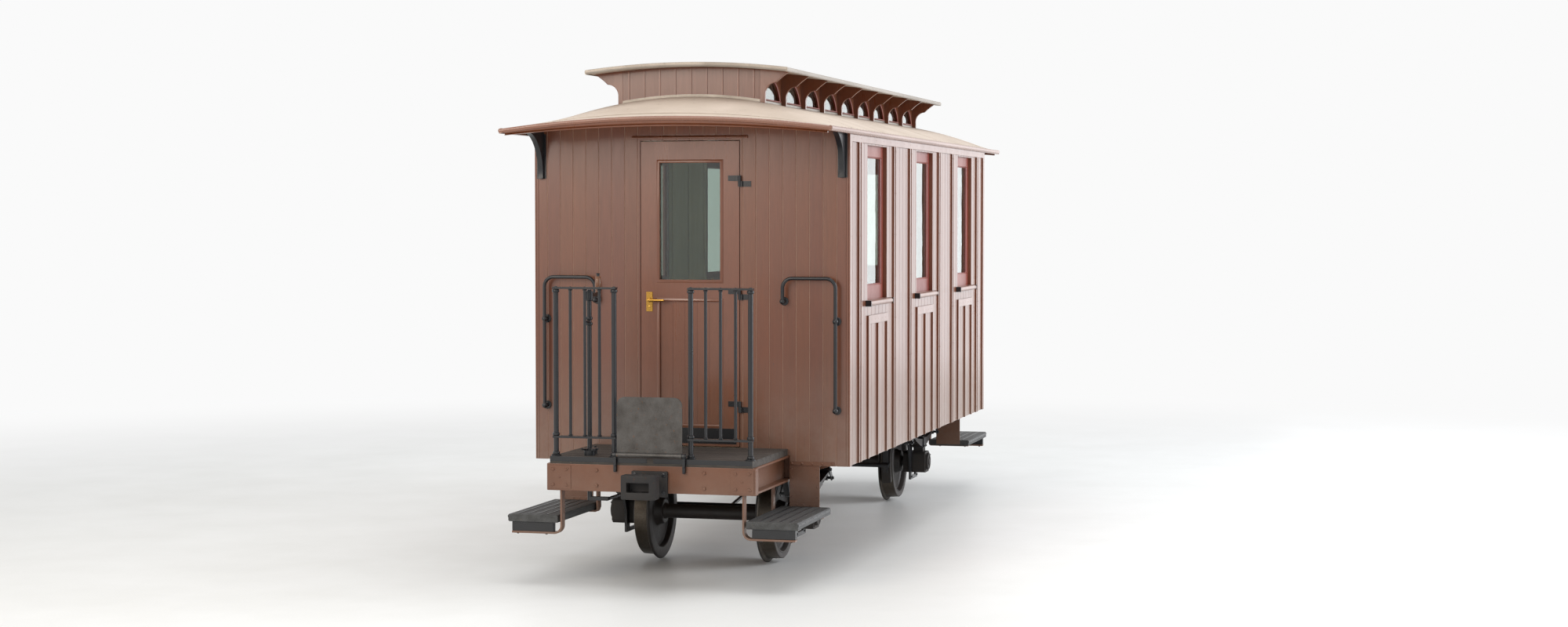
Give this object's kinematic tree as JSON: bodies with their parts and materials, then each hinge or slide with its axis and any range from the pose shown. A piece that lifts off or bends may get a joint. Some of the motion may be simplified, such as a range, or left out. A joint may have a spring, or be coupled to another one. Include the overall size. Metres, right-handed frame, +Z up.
{
  "type": "passenger coach",
  "caption": "Narrow-gauge passenger coach with open end platforms, boarded sides, a clerestory roof on curved brackets, hinged end doors and sprung wheelsets.",
  "frame": {"origin": "on the floor under the middle of the coach, level with the lowest points of the wheel flanges", "axes": "+X along the coach to the front platform with the hand brake, +Y to the left side, +Z up"},
  "size_m": [6.67, 2.07, 3.1267],
  "materials": {
    "body_paint": "brown gloss oil paint on beaded boards",
    "frame_brown": "brown paint on riveted steel",
    "inner_paint": "varnished inner boarding",
    "sash_paint": "red-brown gloss paint",
    "roof_paint": "light beige paint on sheeting",
    "iron_black": "black paint on forged iron",
    "spring_black": "black paint on spring steel",
    "wheel_steel": "rolled steel, dark, with bright treads",
    "cast_iron": "bare cast iron",
    "platform_planks": "worn dark grey paint on planks",
    "floor_wood": "worn boards",
    "bench_wood": "varnished wood",
    "tread_plate": "dark chequered plate",
    "brass": "polished",
    "window_glass": "clear"
  },
  "bodies": {
    "coach": {"axle_guards": "iron_black", "axleboxes": "iron_black", "bench_backs": "bench_wood", "bench_legs": "bench_wood", "bench_slats": "bench_wood", "brake_blocks": "cast_iron", "brake_grip": "bench_wood", "brake_hangers": "iron_black", "brake_rigging": "iron_black", "clerestory_brackets": "body_paint", "clerestory_glass": "window_glass", "clerestory_roof": "roof_paint", "clerestory_walls": "body_paint", "couplers": "iron_black", "cross_members": "frame_brown", "door_hinges": "iron_black", "end_boards": "body_paint", "end_wall_front": "inner_paint", "end_wall_rear": "inner_paint", "gangway_lugs": "iron_black", "grab_rails": "iron_black", "hand_brake": "iron_black", "headstocks": "frame_brown", "leaf_springs": "spring_black", "main_roof": "roof_paint", "platform_floors": "platform_planks", "platform_railings": "iron_black", "roof_corbels": "iron_black", "roof_cornices": "body_paint", "saloon_floor": "floor_wood", "side_boards": "body_paint", "side_mouldings": "body_paint", "side_wall_left": "inner_paint", "side_wall_right": "inner_paint", "sole_bars": "frame_brown", "spring_brackets": "iron_black", "spring_links": "iron_black", "step_bearers": "iron_black", "step_boards": "platform_planks", "step_plates": "frame_brown", "step_straps": "frame_brown", "window_glass": "window_glass", "window_sashes": "sash_paint"},
    "wheelset_front": {"wheels_front": "wheel_steel", "axle_front": "wheel_steel"},
    "wheelset_rear": {"wheels_rear": "wheel_steel", "axle_rear": "wheel_steel"},
    "door_front": {"door_front": "body_paint", "door_glass_front": "window_glass", "door_handle_front": "brass"},
    "door_rear": {"door_rear": "body_paint", "door_glass_rear": "window_glass", "door_handle_rear": "brass"},
    "gangway_front": {"gangway_plate_front": "tread_plate"},
    "gangway_rear": {"gangway_plate_rear": "tread_plate"}
  },
  "joints": [
    {"name": "wheelset_front_spin", "type": "hinge", "parent": "coach", "child": "wheelset_front", "pos_m": [1.75, 0, 0.305], "axis": [0, 1, 0], "continuous": true},
    {"name": "wheelset_rear_spin", "type": "hinge", "parent": "coach", "child": "wheelset_rear", "pos_m": [-1.75, 0, 0.305], "axis": [0, 1, 0], "continuous": true},
    {"name": "door_front_swing", "type": "hinge", "parent": "coach", "child": "door_front", "pos_m": [2.302, 0.32, 1.715], "axis": [0, 0, 1], "range_deg": [0, 90]},
    {"name": "door_rear_swing", "type": "hinge", "parent": "coach", "child": "door_rear", "pos_m": [-2.302, -0.32, 1.715], "axis": [0, 0, 1], "range_deg": [0, 90]},
    {"name": "gangway_front_fold", "type": "hinge", "parent": "coach", "child": "gangway_front", "pos_m": [3.112, 0, 0.797], "axis": [0, 1, 0], "range_deg": [0, 90]},
    {"name": "gangway_rear_fold", "type": "hinge", "parent": "coach", "child": "gangway_rear", "pos_m": [-3.112, 0, 0.797], "axis": [0, -1, 0], "range_deg": [0, 90]}
  ]
}
